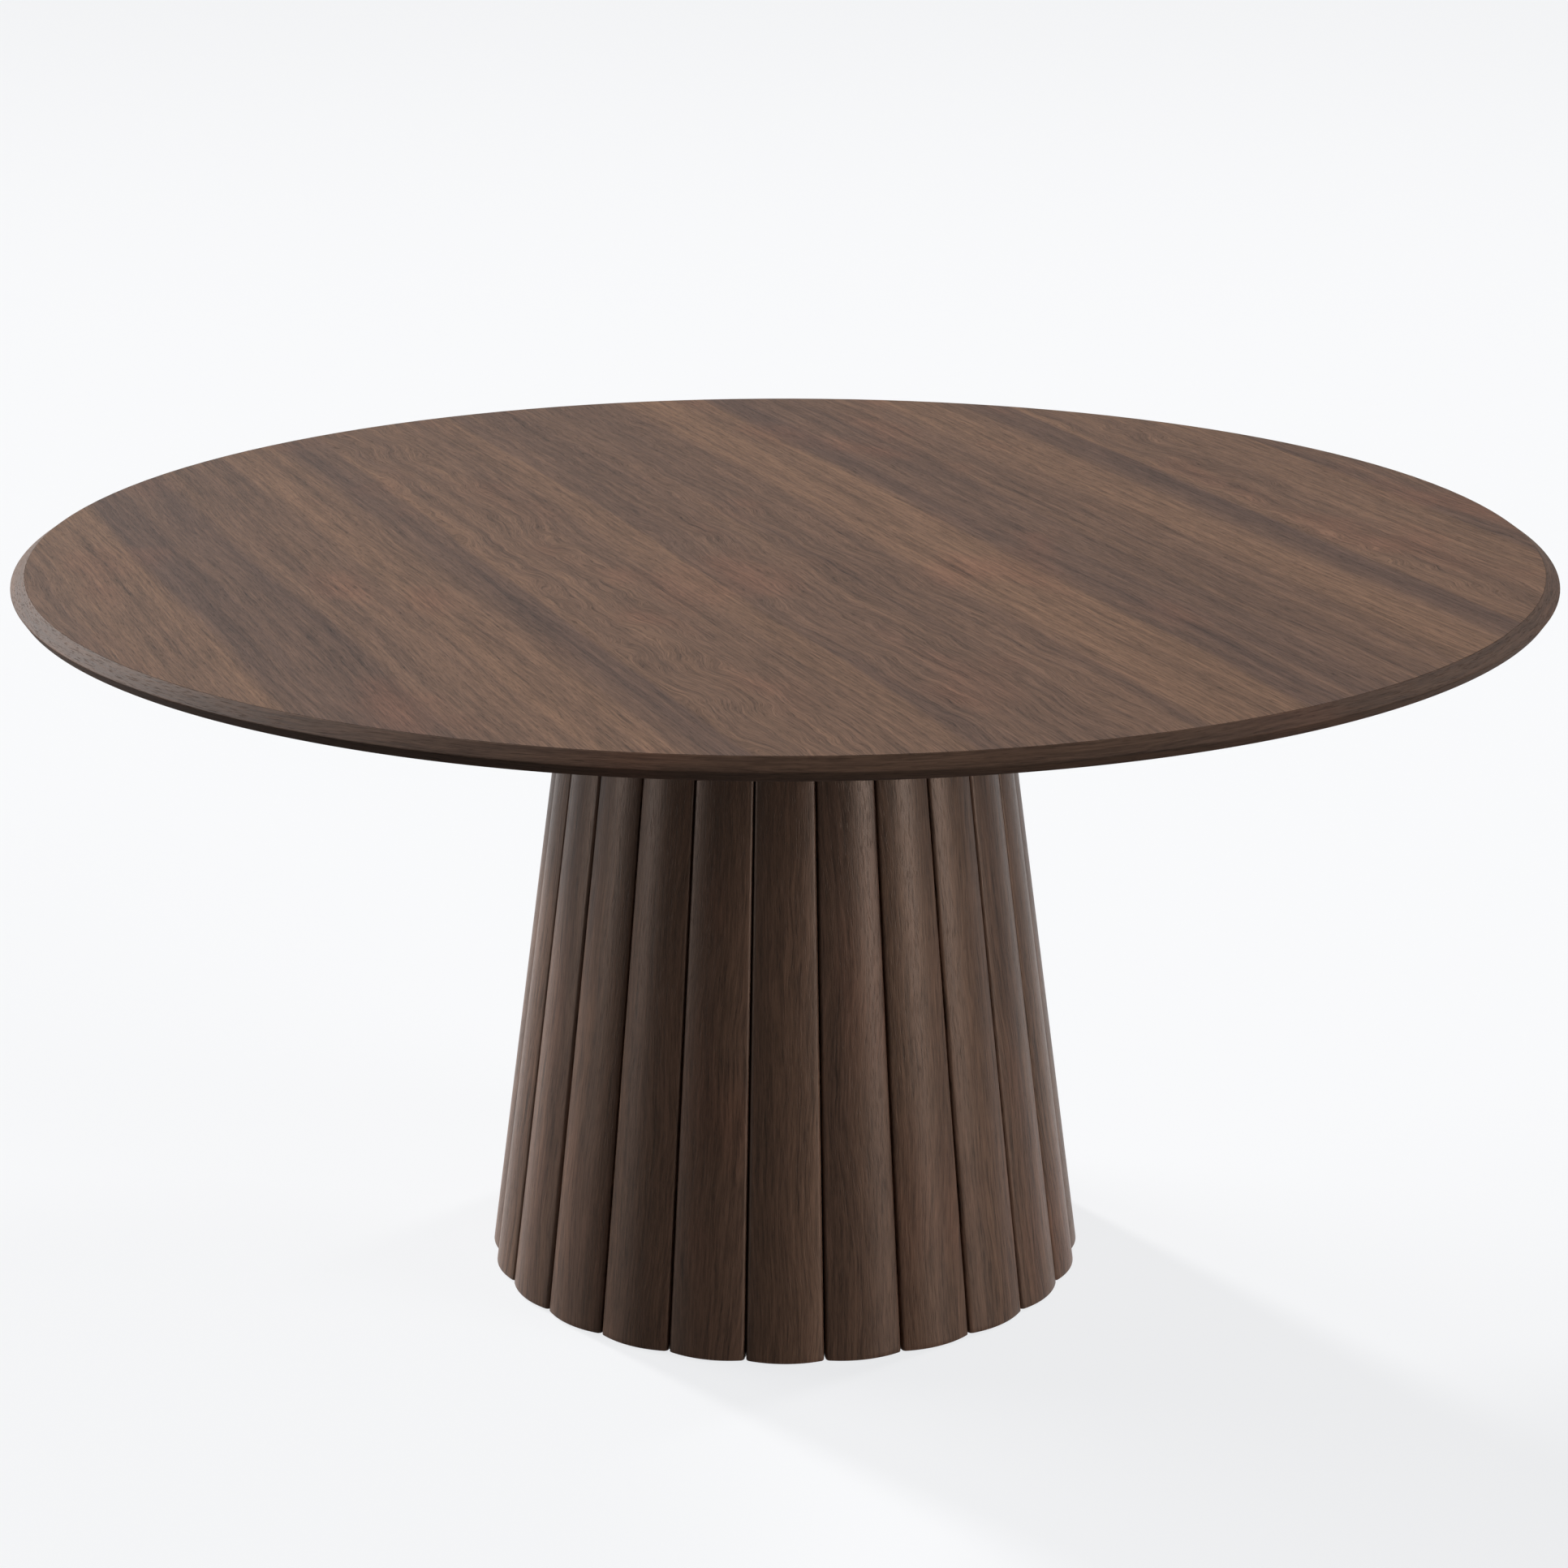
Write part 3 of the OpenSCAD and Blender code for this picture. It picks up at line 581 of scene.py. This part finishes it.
stained_colours = ((0.030, 0.020, 0.015), (0.070, 0.044, 0.030), (0.062, 0.034, 0.024))
stained_tone = 0.45
stained, tree, surface = new_finish("dark_hardwood")
spot = add(tree, "ShaderNodeTexCoord").outputs["Object"]
wood(tree, surface, spot, stained_tone, stained_colours,
     Figure=0.2, Streaks=1.0, Fibres=1.4, Pores=0.3, Matt=0.55)
for name in ("bearer_left", "bearer_right", "head_block", "cap_board"):
    nodes[name].material_slots[0].material = stained


# ---- Plywood core ----
# Birch plywood rings, boards and posts inside the pedestal, left bare. Its layers show as
# thin lines on every cut edge.

two_layers = 0.0030
darker_layer = 0.30
layer_step = 0.35
ply_colours = ((0.42, 0.29, 0.17), (0.60, 0.46, 0.30), (0.56, 0.40, 0.26))
birch, tree, surface = new_finish("plywood")
spot = add(tree, "ShaderNodeTexCoord").outputs["Object"]
parts = add(tree, "ShaderNodeSeparateXYZ")
wire(tree, spot, parts.inputs[0])
layer = calc(tree, "FRACT", calc(tree, "DIVIDE", parts.outputs["Z"], two_layers))
lighter = calc(tree, "MULTIPLY", calc(tree, "GREATER_THAN", layer, 0.5), layer_step)
layer_tone = calc(tree, "ADD", darker_layer, lighter)
wood(tree, surface, spot, layer_tone, ply_colours,
     Figure=0.1, Streaks=0.5, Fibres=0.5, Pores=0.08, Matt=0.62)
for name in ("base_board", "middle_rib", "inner_posts", "core_shell"):
    nodes[name].material_slots[0].material = birch


# ---- Steel and brass ----
# Bright zinc-plated bolts, screws and rod, a black-painted ballast ring and stiffeners, and a
# brushed brass catch, keeper and bushes.

handling = bpy.data.node_groups.new("handling_marks", "ShaderNodeTree")
sockets = handling.interface
sockets.new_socket("Place", in_out="INPUT", socket_type="NodeSocketVector")
sockets.new_socket("Amount", in_out="INPUT", socket_type="NodeSocketFloat")
sockets.new_socket("Plain Roughness", in_out="INPUT", socket_type="NodeSocketFloat")
sockets.new_socket("Clean", in_out="INPUT", socket_type="NodeSocketColor")
sockets.new_socket("Dull", in_out="INPUT", socket_type="NodeSocketColor")
sockets.new_socket("Color", in_out="OUTPUT", socket_type="NodeSocketColor")
sockets.new_socket("Height", in_out="OUTPUT", socket_type="NodeSocketFloat")
sockets.new_socket("Roughness", in_out="OUTPUT", socket_type="NodeSocketFloat")
brush_matt = 0.12
dull_matt = 0.18
tree = handling
given = add(tree, "NodeGroupInput")
brush = off_centre(tree, noise(tree, given.outputs["Place"], across=900.0, along=60.0), 1.0)
smear = ease(tree, noise(tree, given.outputs["Place"], across=45.0, along=45.0, detail=3.0), 0.45, 0.70)
dulled = calc(tree, "MULTIPLY", smear, given.outputs["Amount"])
colour = blend_colour(tree, dulled, given.outputs["Clean"], given.outputs["Dull"])
rough = calc(tree, "ADD", given.outputs["Plain Roughness"], calc(tree, "MULTIPLY", brush, brush_matt))
rough = calc(tree, "ADD", rough, calc(tree, "MULTIPLY", dulled, dull_matt))
result = add(tree, "NodeGroupOutput")
wire(tree, colour, result.inputs["Color"])
wire(tree, brush, result.inputs["Height"])
wire(tree, rough, result.inputs["Roughness"])


def handled(name, clean, dull, roughness, metal, amount, depth):
    made, tree, surface = new_finish(name, sheen=0.5)
    marks = add(tree, "ShaderNodeGroup", node_tree=handling)
    wire(tree, add(tree, "ShaderNodeTexCoord").outputs["Object"], marks.inputs["Place"])
    marks.inputs["Amount"].default_value = amount
    marks.inputs["Plain Roughness"].default_value = roughness
    marks.inputs["Clean"].default_value = (*clean, 1.0)
    marks.inputs["Dull"].default_value = (*dull, 1.0)
    surface.inputs["Metallic"].default_value = metal
    wire(tree, marks.outputs["Color"], surface.inputs["Base Color"])
    wire(tree, marks.outputs["Roughness"], surface.inputs["Roughness"])
    emboss(tree, surface, marks.outputs["Height"], depth)
    return made


steel = handled("steel_fixings", clean=(0.62, 0.62, 0.61), dull=(0.40, 0.40, 0.38),
                roughness=0.30, metal=1.0, amount=0.6, depth=0.00002)
brass = handled("brass", clean=(0.70, 0.52, 0.26), dull=(0.42, 0.30, 0.15),
                roughness=0.32, metal=1.0, amount=0.7, depth=0.00003)
painted = handled("painted_steel", clean=(0.035, 0.035, 0.037), dull=(0.060, 0.058, 0.056),
                  roughness=0.45, metal=0.0, amount=0.6, depth=0.00006)
for name in ("stiffener_screws", "bearer_screws", "pivot_rod", "pivot_washers", "pivot_nuts", "block_bolts",
             "block_washers", "post_screws", "ballast_screws", "catch_leaf", "catch_bolt"):
    nodes[name].material_slots[0].material = steel
for name in ("pivot_bush_left", "pivot_bush_right", "catch_case", "catch_screws", "catch_knob",
             "catch_keeper", "keeper_screws"):
    nodes[name].material_slots[0].material = brass
for name in ("stiffener_front", "stiffener_back", "ballast_ring"):
    nodes[name].material_slots[0].material = painted


# ---- Felt pads and rubber buffers ----
# Pressed grey felt discs under the pedestal and on the head block, and two domed black rubber
# buffers under the top, glued on.

felt_dark = (0.045, 0.044, 0.043, 1.0)
felt_light = (0.12, 0.115, 0.11, 1.0)
felt, tree, surface = new_finish("felt", sheen=0.1)
spot = add(tree, "ShaderNodeTexCoord").outputs["Object"]
fluff = noise(tree, spot, across=700.0, along=700.0, detail=4.0, rough=0.7)
cloudy = noise(tree, spot, across=90.0, along=90.0, detail=3.0, rough=0.6)
fluff_part = calc(tree, "MULTIPLY", fluff, 0.6)
mixed = calc(tree, "ADD", fluff_part, calc(tree, "MULTIPLY", cloudy, 0.4))
felt_colour = blend_colour(tree, ease(tree, mixed, 0.35, 0.65), felt_dark, felt_light)
wire(tree, felt_colour, surface.inputs["Base Color"])
surface.inputs["Roughness"].default_value = 0.95
surface.inputs["Sheen Weight"].default_value = 0.25
emboss(tree, surface, fluff, depth=0.0004)
nodes["floor_pads"].material_slots[0].material = felt
nodes["rest_pads"].material_slots[0].material = felt

rubber_fresh = (0.012, 0.012, 0.012, 1.0)
rubber_bloomed = (0.030, 0.029, 0.028, 1.0)
plain_matt = 0.60
bloom_matt = 0.15
rubber, tree, surface = new_finish("rubber", sheen=0.4)
spot = add(tree, "ShaderNodeTexCoord").outputs["Object"]
bloom = ease(tree, noise(tree, spot, across=120.0, along=120.0, detail=3.0, rough=0.6), 0.40, 0.70)
wire(tree, blend_colour(tree, bloom, rubber_fresh, rubber_bloomed), surface.inputs["Base Color"])
rubber_matt = calc(tree, "ADD", plain_matt, calc(tree, "MULTIPLY", bloom, bloom_matt))
wire(tree, rubber_matt, surface.inputs["Roughness"])
emboss(tree, surface, noise(tree, spot, across=1500.0, along=1500.0), depth=0.00006)
nodes["tilt_buffers"].material_slots[0].material = rubber
